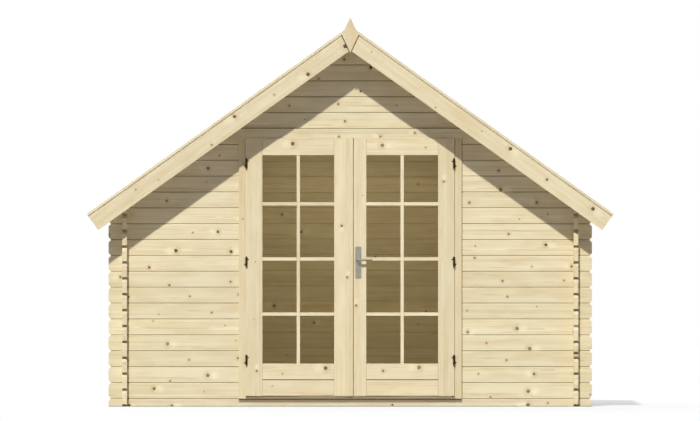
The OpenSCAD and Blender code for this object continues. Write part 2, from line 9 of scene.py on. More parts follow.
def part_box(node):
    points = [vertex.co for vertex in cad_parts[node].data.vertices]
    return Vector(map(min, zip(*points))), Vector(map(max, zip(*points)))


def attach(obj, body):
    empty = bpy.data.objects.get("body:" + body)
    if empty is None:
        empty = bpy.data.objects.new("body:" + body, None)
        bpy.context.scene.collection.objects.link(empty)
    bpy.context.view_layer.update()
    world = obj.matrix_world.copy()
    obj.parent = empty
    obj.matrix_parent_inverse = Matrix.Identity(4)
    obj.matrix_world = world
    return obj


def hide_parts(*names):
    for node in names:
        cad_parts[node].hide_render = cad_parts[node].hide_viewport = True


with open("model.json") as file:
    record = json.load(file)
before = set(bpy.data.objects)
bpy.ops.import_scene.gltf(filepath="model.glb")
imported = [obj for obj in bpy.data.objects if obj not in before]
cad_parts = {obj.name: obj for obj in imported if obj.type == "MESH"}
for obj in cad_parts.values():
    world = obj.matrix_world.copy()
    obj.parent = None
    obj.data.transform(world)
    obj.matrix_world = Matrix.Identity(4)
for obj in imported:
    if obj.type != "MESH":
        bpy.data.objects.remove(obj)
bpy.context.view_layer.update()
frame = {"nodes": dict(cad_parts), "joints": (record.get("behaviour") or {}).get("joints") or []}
nodes = frame["nodes"]


# Floor bearers
# Eight squared spruce bearers lie across the house on the ground and carry the floor boards.
# They are coarser and a shade darker than the planed timber above them.
to_right = Vector((1, 0, 0))
to_back = Vector((0, 1, 0))
upwards = Vector((0, 0, 1))


def wire(tree, kind, sockets=None, **settings):
    """One node of a material; sockets gives each input a number, a colour or another node's output."""
    made = tree.nodes.new("ShaderNode" + kind)
    for name, value in settings.items():
        setattr(made, name, value)
    for key, value in (sockets or {}).items():
        if isinstance(value, bpy.types.NodeSocket):
            tree.links.new(value, made.inputs[key])
        else:
            made.inputs[key].default_value = value
    return made


def reckon(tree, operation, *values):
    """The result of one Math node."""
    return wire(tree, "Math", dict(enumerate(values)), operation=operation).outputs[0]


def eased(tree, value, start, end, low=0.0, high=1.0):
    """Goes smoothly from low to high while value goes from start to end."""
    span = {"Value": value, "From Min": start, "From Max": end, "To Min": low, "To Max": high}
    return wire(tree, "MapRange", span, interpolation_type="SMOOTHSTEP").outputs["Result"]


def blended(tree, share, first, second, blend_type="MIX"):
    """Two colours mixed by a share of the second."""
    sockets = {0: share, 6: first, 7: second}
    return wire(tree, "Mix", sockets, data_type="RGBA", blend_type=blend_type).outputs[2]


def spread(tree, along, across, through, scales, detail=2.0):
    """Noise from 0 to 1 in the timber, with a scale for each of its three directions."""
    parts = [reckon(tree, "MULTIPLY", value, scale) for value, scale in zip((along, across, through), scales)]
    vector = wire(tree, "CombineXYZ", dict(enumerate(parts))).outputs[0]
    return wire(tree, "TexNoise", {"Vector": vector, "Scale": 1.0, "Detail": detail}).outputs[0]


def timber(name, lot, along, across, centre, width, start=None, pale=(0.884, 0.805, 0.545),
           late=(0.640, 0.482, 0.244), knot_gap=0.39, knot_share=0.82, knot_size=1.0, seam=0.0, butts=None,
           sunk=None):
    """Planed timber with growth rings round a wandering pith, fine fibres and dark-rimmed knots.

    along is the way of the grain and across the way of a board's width. Boards of that width follow each
    other from start, each with a pith, a tone and knots of its own, and lot tells one piece's boards from
    another's. seam is how much painted shade darkens the edge that faces down, over the joint with the board
    below. butts gives the places along the grain where a board meets others end on, each with half the width
    of the dark line drawn there: a dark joint at the ends of a rail, and painted shadow beside the right door
    post. sunk is the height over the middle at which a groove in the face has its bottom, darkened as painted
    shade.
    """
    material = bpy.data.materials.new(name)
    material.use_nodes = True
    tree = material.node_tree
    shader = tree.nodes["Principled BSDF"]
    place = wire(tree, "TexCoord").outputs
    through = along.cross(across)
    if start is None:
        start = centre.dot(across) - width / 2

    def run(direction, origin):
        """How far the surface lies along a direction, counted from an origin on it."""
        reach = wire(tree, "VectorMath", {0: place["Object"], 1: direction}, operation="DOT_PRODUCT")
        return reckon(tree, "SUBTRACT", reach.outputs["Value"], origin)

    def facing(direction):
        """1 where the surface faces a direction, and -1 where it faces away."""
        turned = wire(tree, "VectorMath", {0: place["Normal"], 1: direction}, operation="DOT_PRODUCT")
        return turned.outputs["Value"]

    # Each board has its own random numbers and its own stretch of the pattern
    longest_shift = 53.0
    count = reckon(tree, "DIVIDE", run(across, start), width)
    board = reckon(tree, "FLOOR", count)
    side = reckon(tree, "MULTIPLY", reckon(tree, "SUBTRACT", reckon(tree, "FRACT", count), 0.5), width)
    depth = run(through, centre.dot(through))
    chance = wire(tree, "TexWhiteNoise", {"W": reckon(tree, "ADD", board, lot)}, noise_dimensions="1D")
    pick = wire(tree, "SeparateColor", {0: chance.outputs["Color"]}).outputs
    grain = reckon(tree, "MULTIPLY_ADD", pick[0], longest_shift, run(along, 0.0))

    # Knots lie along the board, some gaps apart, and go right through it; most of them are small
    least_knot = 0.0034 * knot_size
    knot_growth = 0.0120 * knot_size
    smallness = 1.7
    knot_room = width * 0.8
    raggedness = 0.9
    gaps = reckon(tree, "DIVIDE", grain, knot_gap)
    cell = wire(tree, "TexVoronoi", {"W": gaps, "Scale": 1.0, "Randomness": 0.8}, voronoi_dimensions="1D")
    fate = wire(tree, "SeparateColor", {0: cell.outputs["Color"]}).outputs
    there = reckon(tree, "LESS_THAN", fate[0], knot_share)
    radius = reckon(tree, "MULTIPLY_ADD", reckon(tree, "POWER", fate[2], smallness), knot_growth, least_knot)
    knot_along = reckon(tree, "MULTIPLY", reckon(tree, "SUBTRACT", gaps, cell.outputs["W"]), knot_gap)
    knot_at = reckon(tree, "MULTIPLY", reckon(tree, "SUBTRACT", fate[1], 0.5), knot_room)
    knot_across = reckon(tree, "SUBTRACT", side, knot_at)
    ragged = spread(tree, grain, side, depth, (140.0, 140.0, 0.0))
    squares = reckon(tree, "MULTIPLY_ADD", knot_along, knot_along, reckon(tree, "POWER", knot_across, 2.0))
    apart = reckon(tree, "DIVIDE", reckon(tree, "SQRT", squares), radius)
    reach = reckon(tree, "MULTIPLY_ADD", reckon(tree, "SUBTRACT", ragged, 0.5), raggedness, apart)
    core = reckon(tree, "MULTIPLY", there, eased(tree, reach, 1.05, 0.75))
    rim = reckon(tree, "MULTIPLY", core, eased(tree, reach, 0.45, 0.85))
    halo = reckon(tree, "MULTIPLY", there, eased(tree, reach, 3.6, 0.9))

    # A painted highlight lies on one side of the larger knots, in ragged patches, where the grain flows round
    # them
    glow_away = 2.8
    glow_stretch = 0.6
    patchiness = 3.2
    turn = reckon(tree, "FRACT", reckon(tree, "MULTIPLY", fate[0], 23.0))
    onward = reckon(tree, "GREATER_THAN", turn, 0.35)
    offset = reckon(tree, "MULTIPLY", radius, reckon(tree, "MULTIPLY_ADD", onward, -2 * glow_away, glow_away))
    aside = reckon(tree, "MULTIPLY", reckon(tree, "ADD", knot_along, offset), glow_stretch)
    aside_squares = reckon(tree, "MULTIPLY_ADD", aside, aside, reckon(tree, "POWER", knot_across, 2.0))
    aside_reach = reckon(tree, "DIVIDE", reckon(tree, "SQRT", aside_squares), radius)
    patchy = spread(tree, grain, side, depth, (26.0, 60.0, 0.0))
    aside_reach = reckon(tree, "MULTIPLY_ADD", reckon(tree, "SUBTRACT", patchy, 0.5), patchiness, aside_reach)
    knot_highlight = reckon(tree, "MULTIPLY", there, eased(tree, aside_reach, 3.0, 0.5))
    knot_highlight = reckon(tree, "MULTIPLY", knot_highlight, eased(tree, fate[2], 0.45, 0.85))

    # Growth rings round the pith, pushed aside by the knots
    ring_gap = 0.0027
    pith_room = width * 1.5
    pith_wander = 0.030
    pith_least_depth = 0.022
    pith_depth_range = 0.05
    ring_waver = 0.006
    knot_push = 0.006
    wander = reckon(tree, "SUBTRACT", spread(tree, grain, board, depth, (0.9, 2.7, 0.0)), 0.5)
    pith_side = reckon(tree, "MULTIPLY", reckon(tree, "SUBTRACT", pick[1], 0.5), pith_room)
    off_side = reckon(tree, "MULTIPLY_ADD", wander, pith_wander, reckon(tree, "SUBTRACT", side, pith_side))
    pith_depth = reckon(tree, "MULTIPLY_ADD", pick[2], pith_depth_range, pith_least_depth)
    off_deep = reckon(tree, "ADD", depth, pith_depth)
    ring_squares = reckon(tree, "MULTIPLY_ADD", off_side, off_side, reckon(tree, "POWER", off_deep, 2.0))
    waver = reckon(tree, "MULTIPLY", spread(tree, grain, side, depth, (2.2, 18.0, 18.0)), ring_waver)
    pushed = reckon(tree, "MULTIPLY_ADD", halo, knot_push, waver)
    ring_reach = reckon(tree, "ADD", reckon(tree, "SQRT", ring_squares), pushed)
    ring = reckon(tree, "POWER", reckon(tree, "FRACT", reckon(tree, "DIVIDE", ring_reach, ring_gap)), 3.0)

    # Rings, streaks, fibres, clouds and veins all mix honey late wood into the pale early wood
    ring_share = 0.42
    streak_share = 0.30
    fibre_share = 0.10
    cloud_share = 0.17
    vein_share = 0.32
    fibre = spread(tree, grain, side, depth, (7.0, 420.0, 420.0), 3.0)
    streak = eased(tree, spread(tree, grain, side, depth, (0.8, 34.0, 34.0), 3.0), 0.35, 0.75)
    cloud = eased(tree, spread(tree, grain, side, depth, (5.0, 16.0, 16.0), 1.0), 0.35, 0.7)
    vein = eased(tree, spread(tree, grain, side, depth, (3.4, 95.0, 95.0)), 0.60, 0.74)
    share = reckon(tree, "MULTIPLY_ADD", ring, ring_share, reckon(tree, "MULTIPLY", streak, streak_share))
    share = reckon(tree, "MULTIPLY_ADD", fibre, fibre_share, share)
    share = reckon(tree, "MULTIPLY_ADD", cloud, cloud_share, share)
    share = reckon(tree, "MULTIPLY_ADD", vein, vein_share, share)
    colour = blended(tree, share, (*pale, 1), (*late, 1))

    # Each board has a tone of its own, and end grain is a little darker
    darkest_tone = 0.945
    tone_range = 0.11
    end_share = 0.06
    tone = reckon(tree, "MULTIPLY_ADD", chance.outputs["Value"], tone_range, darkest_tone)
    shade = wire(tree, "CombineXYZ", {0: tone, 1: tone, 2: tone}).outputs[0]
    colour = blended(tree, 1.0, colour, shade, "MULTIPLY")
    ends = eased(tree, reckon(tree, "ABSOLUTE", facing(along)), 0.75, 0.95)
    colour = blended(tree, reckon(tree, "MULTIPLY", ends, end_share), colour, (*late, 1))

    # Painted shade darkens the edge that faces down over each joint and the bottom of a groove, and the same
    # dark brown draws lines where boards butt: dark joints at the rail ends, painted shadow beside the right
    # post
    dark_joint_and_shade = (0.150, 0.098, 0.036, 1)
    butt_share = 0.8
    groove_shade_share = 0.9
    # Painted shade on the edge that faces down, over the joint with the board below
    if seam > 0:
        under = eased(tree, facing(across), -0.4, -0.6)
        colour = blended(tree, reckon(tree, "MULTIPLY", under, seam), colour, dark_joint_and_shade)
    # A dark line at each butt: a dark joint at a rail's end, and painted shadow beside the right door post
    for butt, half_line in butts or ():
        beside = reckon(tree, "ABSOLUTE", run(along, butt))
        line = eased(tree, beside, 1.3 * half_line, 0.7 * half_line, 0.0, butt_share)
        colour = blended(tree, line, colour, dark_joint_and_shade)
    # Painted shade at the bottom of a groove in the face
    if sunk is not None:
        off_bottom = reckon(tree, "ABSOLUTE", reckon(tree, "SUBTRACT", depth, sunk))
        level = eased(tree, off_bottom, 0.004, 0.003)
        bottom = reckon(tree, "MULTIPLY", level, eased(tree, facing(through), 0.4, 0.6))
        colour = blended(tree, reckon(tree, "MULTIPLY", bottom, groove_shade_share), colour, dark_joint_and_shade)

    # Knots are brown with a dark rim and a honey halo, the less sound ones deeper in colour, beside a painted
    # highlight
    knot_brown = (0.095, 0.055, 0.013, 1)
    knot_rim = (0.030, 0.019, 0.005, 1)
    halo_share = 0.60
    knot_highlight_share = 0.55
    rim_share = 0.75
    deepest_brown = 0.95
    brown_range = -0.35
    painted_highlight = tuple(min(0.96, 1.12 * part) for part in pale)
    colour = blended(tree, reckon(tree, "MULTIPLY", halo, halo_share), colour, (*late, 1))
    colour = blended(tree, reckon(tree, "MULTIPLY", knot_highlight, knot_highlight_share), colour, (*painted_highlight, 1))
    soundness = reckon(tree, "FRACT", reckon(tree, "MULTIPLY", fate[0], 41.0))
    depth_of_brown = reckon(tree, "MULTIPLY_ADD", soundness, brown_range, deepest_brown)
    colour = blended(tree, reckon(tree, "MULTIPLY", core, depth_of_brown), colour, knot_brown)
    colour = blended(tree, reckon(tree, "MULTIPLY", rim, rim_share), colour, knot_rim)
    tree.links.new(colour, shader.inputs["Base Color"])

    # Late wood is a little smoother and stands a hair proud of the early wood
    planed_roughness = 0.66
    late_polish = -0.10
    knot_polish = -0.12
    gloss = reckon(tree, "MULTIPLY_ADD", ring, late_polish, planed_roughness)
    tree.links.new(reckon(tree, "MULTIPLY_ADD", core, knot_polish, gloss), shader.inputs["Roughness"])
    height = reckon(tree, "MULTIPLY_ADD", fibre, 0.6, reckon(tree, "MULTIPLY_ADD", core, 0.8, ring))
    bump = wire(tree, "Bump", {"Height": height, "Strength": 0.45, "Distance": 0.0004})
    tree.links.new(bump.outputs["Normal"], shader.inputs["Normal"])
    shader.inputs["Specular IOR Level"].default_value = 0.22
    return material


def clad(node, material):
    """Gives a solid of the house its finish."""
    for slot in nodes[node].material_slots:
        slot.material = material


def middle(node):
    """The middle of a solid of the house."""
    low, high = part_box(node)
    return (low + high) / 2


def girth(node, way):
    """The size of a solid of the house along one of the axes."""
    low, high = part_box(node)
    return (high - low).dot(way)


sawn_pale = (0.640, 0.540, 0.345)
sawn_late = (0.440, 0.320, 0.160)
tone_strips = 7.5
strip_width = girth("floor_bearers", to_back) / tone_strips
bearer_wood = timber("sawn_bearers", 3.0, to_right, to_back, middle("floor_bearers"), strip_width,
                     pale=sawn_pale, late=sawn_late)
clad("floor_bearers", bearer_wood)


# Floor
# Tongued and grooved spruce boards run from front to back across the bearers.
# Each board is nailed to each bearer, and its top edges are broken so that the joints show as fine lines.
def piece(name, shape, material, body):
    """Makes a finished shape a piece that rides on a body of the house."""
    bmesh.ops.recalc_face_normals(shape, faces=shape.faces)
    mesh = bpy.data.meshes.new(name)
    shape.to_mesh(mesh)
    shape.free()
    mesh.materials.append(material)
    made = bpy.data.objects.new(name, mesh)
    bpy.context.scene.collection.objects.link(made)
    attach(made, body)
    return made


def runs_along(edge, way):
    """Whether an edge of a shape runs along a way."""
    stretch = edge.verts[1].co - edge.verts[0].co
    return abs(stretch.normalized().dot(way)) > 0.9


def block(shape, low, high, chamfer, way, segments=1):
    """A squared length of timber between two corners, with its edges along one way broken."""
    low = Vector(low)
    high = Vector(high)
    corners = bmesh.ops.create_cube(shape, size=1.0)["verts"]
    bmesh.ops.scale(shape, vec=high - low, verts=corners)
    bmesh.ops.translate(shape, vec=(low + high) / 2, verts=corners)
    edges = dict.fromkeys(edge for corner in corners for edge in corner.link_edges)
    broken = [edge for edge in edges if runs_along(edge, way)]
    bmesh.ops.bevel(shape, geom=broken, offset=chamfer, offset_type="OFFSET", segments=segments,
                    profile=0.5, affect="EDGES", material=-1)


def nail_head(shape, at, facing, radius, rise, segments=8):
    """A domed nail or screw head that stands a little proud of the timber."""
    crown_share = 0.72
    set_down = 0.0004
    turn = upwards.rotation_difference(Vector(facing)).to_matrix().to_4x4()
    lift = Matrix.Translation(Vector(at)) @ turn @ Matrix.Translation(Vector((0, 0, rise / 2 - set_down)))
    bmesh.ops.create_cone(shape, cap_ends=True, segments=segments, radius1=radius,
                          radius2=radius * crown_share, depth=rise, matrix=lift)


def steel(name, colour, roughness, metallic, brush):
    """Metal with a fine brushed or mottled finish; brush gives the scale of the marks along X, Y and Z."""
    material = bpy.data.materials.new(name)
    material.use_nodes = True
    tree = material.node_tree
    shader = tree.nodes["Principled BSDF"]
    place = wire(tree, "SeparateXYZ", {0: wire(tree, "TexCoord").outputs["Object"]}).outputs
    marks = spread(tree, place[0], place[1], place[2], brush, 4.0)
    cloud = spread(tree, place[0], place[1], place[2], (60.0, 60.0, 60.0), 3.0)
    roughness_range = 0.22
    dark = tuple(0.72 * part for part in colour)
    light = tuple(1.25 * part for part in colour)
    tree.links.new(blended(tree, cloud, (*dark, 1), (*light, 1)), shader.inputs["Base Color"])
    rough = reckon(tree, "MULTIPLY_ADD", marks, roughness_range, roughness - roughness_range / 2)
    tree.links.new(rough, shader.inputs["Roughness"])
    bump = wire(tree, "Bump", {"Height": marks, "Strength": 0.25, "Distance": 0.0002})
    tree.links.new(bump.outputs["Normal"], shader.inputs["Normal"])
    shader.inputs["Metallic"].default_value = metallic
    return material


floor_low, floor_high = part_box("floor")
floor_board_count = 34
floor_board = (floor_high.x - floor_low.x) / floor_board_count
board_joint = 0.0002
board_chamfer = 0.0018
floor_pale = (0.800, 0.690, 0.460)
floor_shape = bmesh.new()
for index in range(floor_board_count):
    left = floor_low.x + index * floor_board
    block(floor_shape, (left + board_joint, floor_low.y, floor_low.z),
          (left + floor_board - board_joint, floor_high.y, floor_high.z), board_chamfer, to_back)
floor_wood = timber("floor_boards_spruce", 11.0, to_back, to_right, middle("floor"), floor_board, floor_low.x,
                    pale=floor_pale)
floor_boards = piece("floor_boards", floor_shape, floor_wood, "house")
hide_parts("floor")

bearer_low, bearer_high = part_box("floor_bearers")
bearer_count = 8
bearer_width = 0.058
bearer_gap = (bearer_high.y - bearer_low.y - bearer_width) / (bearer_count - 1)
floor_nail_inset = 0.020
floor_nail_radius = 0.0032
floor_nail_rise = 0.0007
floor_nail_sides = 6
floor_nails_shape = bmesh.new()
for index in range(floor_board_count):
    for row in range(bearer_count):
        for edge in (floor_nail_inset, floor_board - floor_nail_inset):
            spot = (floor_low.x + index * floor_board + edge,
                    bearer_low.y + bearer_width / 2 + row * bearer_gap, floor_high.z)
            nail_head(floor_nails_shape, spot, upwards, floor_nail_radius, floor_nail_rise, floor_nail_sides)
nail_steel = steel("nail_steel", (0.42, 0.41, 0.39), 0.42, 0.9, (300.0, 300.0, 300.0))
piece("floor_nails", floor_nails_shape, nail_steel, "house")


# Log walls
# Planed spruce logs, tongued and grooved into each other and notched where front and side walls cross; the
# front and back start with a half log. Painted shade darkens the under edge of each joint, and a painted
# shadow line runs beside the right door post.
log_cover = 0.115
half_log = log_cover / 2
joint_shade = 0.78
back_joint_shade = 0.15
front_lot = 21.0
front_wood = timber("front_logs_spruce", front_lot, to_right, upwards, middle("front_bottom_log"), log_cover,
                    half_log, seam=joint_shade)
back_wood = timber("back_logs_spruce", 57.0, to_right, upwards, middle("back_wall"), log_cover, half_log,
                   knot_share=0.4, knot_size=0.8, seam=back_joint_shade)
left_wood = timber("left_logs_spruce", 93.0, to_back, upwards, middle("left_wall"), log_cover, 0.0,
                   seam=joint_shade)
right_wood = timber("right_logs_spruce", 131.0, to_back, upwards, middle("right_wall"), log_cover, 0.0,
                    seam=joint_shade)
# A painted shadow line runs down the logs beside the right door post's outer edge
post_shadow_line = 0.0026
right_post_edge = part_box("door_post_right")[1].x
by_the_post = timber("front_right_logs_spruce", front_lot, to_right, upwards, middle("front_bottom_log"),
                     log_cover, half_log, seam=joint_shade, butts=[(right_post_edge + post_shadow_line, post_shadow_line)])
clad("front_wall_right", by_the_post)
for node in ("front_bottom_log", "front_wall_left", "front_gable"):
    clad(node, front_wood)
for node in ("back_wall", "back_gable"):
    clad(node, back_wood)
clad("left_wall", left_wood)
clad("right_wall", right_wood)


# Door frame
# Two grooved spruce posts slip over the log ends beside the doorway, and a head lies across their tops.
# The joiner picks cleaner wood for the posts than for the walls.
frame_pale = (0.805, 0.695, 0.450)
for lot, node in ((171.0, "door_post_left"), (173.0, "door_post_right")):
    post_wood = timber(node + "_spruce", lot, upwards, to_right, middle(node), girth(node, to_right),
                       pale=frame_pale, knot_gap=0.40, knot_share=0.7, knot_size=0.9)
    clad(node, post_wood)
head_wood = timber("door_head_spruce", 177.0, to_right, upwards, middle("door_head"),
                   girth("door_head", upwards), knot_gap=0.24, knot_share=0.8, knot_size=0.85)
clad("door_head", head_wood)


# Threshold
# A flat hardwood sill between the posts, with a thin apron down the face of the bottom log.
# It is oiled, so it is brown-grey and closer in the grain than the spruce.
sill_pale = (0.395, 0.332, 0.205)
sill_late = (0.235, 0.180, 0.092)
sill_wood = timber("threshold_hardwood", 181.0, to_right, to_back, middle("threshold"),
                   girth("threshold", to_back), pale=sill_pale, late=sill_late, knot_share=0.0)
clad("threshold", sill_wood)


# Door leaves
# Each leaf is a frame of spruce stiles and rails; the bottom rail is two boards edge to edge.
# The left leaf carries a cover strip that runs up its meeting edge.
leaf_pieces = {
    "left_door_hinge_stile": upwards,
    "left_door_meeting_stile": upwards,
    "left_door_cover_strip": upwards,
    "left_door_top_rail": to_right,
    "left_door_bottom_rail": to_right,
    "right_door_hinge_stile": upwards,
    "right_door_meeting_stile": upwards,
    "right_door_top_rail": to_right,
    "right_door_bottom_rail": to_right,
}
leaf_pale = (0.852, 0.760, 0.510)
rail_board = girth("left_door_top_rail", upwards)
rail_groove = 0.007
rail_joint = 0.0014
for number, (node, grain_way) in enumerate(leaf_pieces.items()):
    upright = grain_way == upwards
    width_way = to_right if upright else upwards
    rail_ends = None if upright else [(corner.x, rail_joint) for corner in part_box(node)]
    # The bottom of the groove between a bottom rail's two boards gets painted shade
    groove_bottom = girth(node, to_back) / 2 - rail_groove if node.endswith("bottom_rail") else None
    leaf_wood = timber(node + "_spruce", 201.0 + 2.0 * number, grain_way, width_way, middle(node),
                       min(girth(node, width_way), rail_board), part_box(node)[0].dot(width_way),
                       pale=leaf_pale, knot_gap=0.40 if upright else 0.26,
                       knot_share=0.25 if upright else 0.85, knot_size=0.65 if upright else 1.0,
                       butts=rail_ends, sunk=groove_bottom)
    clad(node, leaf_wood)

# A thin lip along the hinge edge and the top of each leaf reaches over the gap to the frame, and stops at the
# hinges; the right leaf's lip is the narrower one and leaves a dark line beside the post
lip_thickness = 0.0045
lip_chamfer = 0.0006
left_lip = 0.0095
right_lip = 0.0060
top_lip = 0.0070
hinge_heights = (0.3364, 1.0480, 1.7596)
hinge_room = 0.039
for lot, side, sign, side_lip in ((221.0, "left", -1, left_lip), (225.0, "right", 1, right_lip)):
    stile_low, stile_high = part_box(side + "_door_hinge_stile")
    meeting_low, meeting_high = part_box(side + "_door_meeting_stile")
    hinge_edge = stile_low.x if sign < 0 else stile_high.x
    meeting_edge = meeting_high.x if sign < 0 else meeting_low.x
    lip_front = stile_low.y
    lip_back = stile_low.y + lip_thickness
    lip_edge = hinge_edge + sign * side_lip
    stops = [stile_low.z]
    for height in hinge_heights:
        stops += [height - hinge_room, height + hinge_room]
    stops.append(stile_high.z)
    lip_shape = bmesh.new()
    for foot, top in zip(stops[0::2], stops[1::2]):
        block(lip_shape, (min(hinge_edge, lip_edge), lip_front, foot),
              (max(hinge_edge, lip_edge), lip_back, top), lip_chamfer, upwards)
    block(lip_shape, (min(meeting_edge, lip_edge), lip_front, stile_high.z),
          (max(meeting_edge, lip_edge), lip_back, stile_high.z + top_lip), lip_chamfer, to_right)
    lip_wood = timber(side + "_door_lips_spruce", lot, upwards, to_right, stile_low, side_lip, knot_share=0.0)
    piece(side + "_door_lips", lip_shape, lip_wood, side + "_door")


# Glass
# One sheet of clear float glass in a groove round each leaf.
# It lets the daylight through with a slight green tint, and is very faintly hazy in places.
float_glass = bpy.data.materials.new("clear_float_glass")
float_glass.use_nodes = True
glass_tree = float_glass.node_tree
glass_shader = glass_tree.nodes["Principled BSDF"]
glass_shader.inputs["Base Color"].default_value = (0.93, 0.96, 0.93, 1)
glass_shader.inputs["Transmission Weight"].default_value = 1.0
glass_shader.inputs["IOR"].default_value = 1.23
glass_place = wire(glass_tree, "SeparateXYZ", {0: wire(glass_tree, "TexCoord").outputs["Object"]}).outputs
glass_haze = spread(glass_tree, glass_place[0], glass_place[1], glass_place[2], (5.0, 5.0, 2.0))
glass_tree.links.new(eased(glass_tree, glass_haze, 0.3, 0.8, 0.0, 0.012), glass_shader.inputs["Roughness"])
light_path = wire(glass_tree, "LightPath").outputs
let_by = reckon(glass_tree, "MAXIMUM", light_path["Is Shadow Ray"], light_path["Is Diffuse Ray"])
see_through = wire(glass_tree, "BsdfTransparent", {"Color": (0.93, 0.95, 0.93, 1)})
glass_mix = wire(glass_tree, "MixShader", {0: let_by, 1: glass_shader.outputs[0], 2: see_through.outputs[0]})
glass_tree.links.new(glass_mix.outputs[0], glass_tree.nodes["Material Output"].inputs["Surface"])
clad("left_door_glass", float_glass)
clad("right_door_glass", float_glass)


# Glazing bars
# Thin spruce bars are planted on both faces of the glass and divide it into two by four panes.
# Their edges are softened, and the cross bars, with the grain along them, butt against the upright one.
glass_groove = 0.010
bar_width = 0.0245
bar_pitch = 0.3990
bar_lift = 0.003
bar_recess = 0.003
bar_softening = 0.0025
softening_steps = 2
inner_bar_width = 0.022
inner_bar_depth = 0.014
butt_gap = 0.0003
bar_pale = (0.915, 0.825, 0.580)


def lattice(uprights, crossings, low, high, front, back, width):
    """An upright bar and three cross bars over the opening from low to high, butted where they meet."""
    centre_x = (low.x + high.x) / 2
    centre_z = (low.z + high.z) / 2
    half = width / 2
    block(uprights, (centre_x - half, front, low.z + butt_gap), (centre_x + half, back, high.z - butt_gap),
          bar_softening, upwards, softening_steps)
    for step in (-1, 0, 1):
        level = centre_z + bar_lift + step * bar_pitch
        for near, far in ((low.x + butt_gap, centre_x - half - butt_gap),
                          (centre_x + half + butt_gap, high.x - butt_gap)):
            block(crossings, (near, front, level - half), (far, back, level + half),
                  bar_softening, to_right, softening_steps)


for lot, side in ((231.0, "left"), (241.0, "right")):
    pane_low, pane_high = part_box(side + "_door_glass")
    leaf_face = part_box(side + "_door_hinge_stile")[0].y
    margin = Vector((glass_groove, 0, glass_groove))
    opening_low = pane_low + margin
    opening_high = pane_high - margin
    upright_shape = bmesh.new()
    crossing_shape = bmesh.new()
    lattice(upright_shape, crossing_shape, opening_low, opening_high,
            leaf_face + bar_recess, pane_low.y - butt_gap, bar_width)
    inner_face = pane_high.y + butt_gap
    lattice(upright_shape, crossing_shape, opening_low, opening_high,
            inner_face, inner_face + inner_bar_depth, inner_bar_width)
    pane_centre = (pane_low + pane_high) / 2
    upright_wood = timber(side + "_upright_bars_spruce", lot, upwards, to_right, pane_centre, bar_width,
                          pale=bar_pale, knot_share=0.0)
    crossing_wood = timber(side + "_cross_bars_spruce", lot + 2.0, to_right, upwards, pane_centre, bar_pitch,
                           pane_centre.z + bar_lift - bar_pitch / 2, pale=bar_pale, knot_share=0.0)
    piece(side + "_door_upright_bars", upright_shape, upright_wood, side + "_door")
    piece(side + "_door_cross_bars", crossing_shape, crossing_wood, side + "_door")


# Hinges
# Lift-off barrel hinges of bronzed steel, screwed into post and leaf by studs, three to a leaf.
# The lower half carries the pin and the upper half turns on it; each end of a barrel has a low domed cap.
bronzed_steel = steel("bronzed_steel", (0.045, 0.026, 0.008), 0.50, 0.9, (220.0, 220.0, 220.0))
for node in ("frame_hinges_left", "frame_hinges_right", "left_door_hinges", "right_door_hinges"):
    clad(node, bronzed_steel)


weld_reach = 0.00005


def domed_cap(shape, at, radius, rise, points):
    """A low dome turned round the upright axis; points up or down by the sign of points."""
    brim = radius * 1.06
    profile = [(brim, 0.0), (brim, rise * 0.35), (radius * 0.75, rise * 0.8), (0.0, rise)]
    verts = [shape.verts.new((at.x + reach, at.y, at.z + points * lift)) for reach, lift in profile]
    base = shape.verts.new((at.x, at.y, at.z))
    ring = [base, *verts]
    edges = [shape.edges.new(pair) for pair in zip(ring, ring[1:])]
    bmesh.ops.spin(shape, geom=[*ring, *edges], cent=at, axis=upwards, angle=2 * math.pi, steps=16,
                   use_merge=True)
    bmesh.ops.remove_doubles(shape, verts=shape.verts, dist=weld_reach)


barrel_radius = 0.008
barrel_half = 0.034
cap_rise = 0.0025
for side, joint in (("left", frame["joints"][0]), ("right", frame["joints"][1])):
    axis_x, axis_y = joint["pos_m"][:2]
    for body, points in (("house", -1), (side + "_door", 1)):
        cap_shape = bmesh.new()
        for level in hinge_heights:
            domed_cap(cap_shape, Vector((axis_x, axis_y, level + points * barrel_half)), barrel_radius,
                      cap_rise, points)
        piece(f"{side}_hinge_caps_of_{body}", cap_shape, bronzed_steel, body)


# Handle
# A satin grey lever on long plates, one on each face of the right leaf, with the lock's cylinder in them.
# Each plate has a raised collar round the lever's neck and a screw near either end.
satin_grey = steel("satin_grey_metal", (0.295, 0.275, 0.232), 0.50, 0.85, (40.0, 40.0, 900.0))
satin_lever = steel("satin_grey_lever", (0.280, 0.260, 0.220), 0.60, 0.5, (40.0, 40.0, 900.0))
clad("handle_plates", satin_grey)
clad("lever_outside", satin_lever)
clad("lever_inside", satin_lever)
lever_x, spindle_y, lever_z = frame["joints"][2]["pos_m"]
plate_low, plate_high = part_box("handle_plates")
lock_proud = 0.003
neck_radius = 0.0088
collar_bore = neck_radius + 0.0006
collar_rim = neck_radius + 0.003
collar_shoulder = neck_radius + 0.006
collar_foot = neck_radius + 0.0065
collar_rise = 0.005
shoulder_rise = 0.0032
plate_screw_inset = 0.014
plate_screw_radius = 0.0045
plate_screw_rise = 0.0016
plate_screw_sides = 16
handle_shape = bmesh.new()
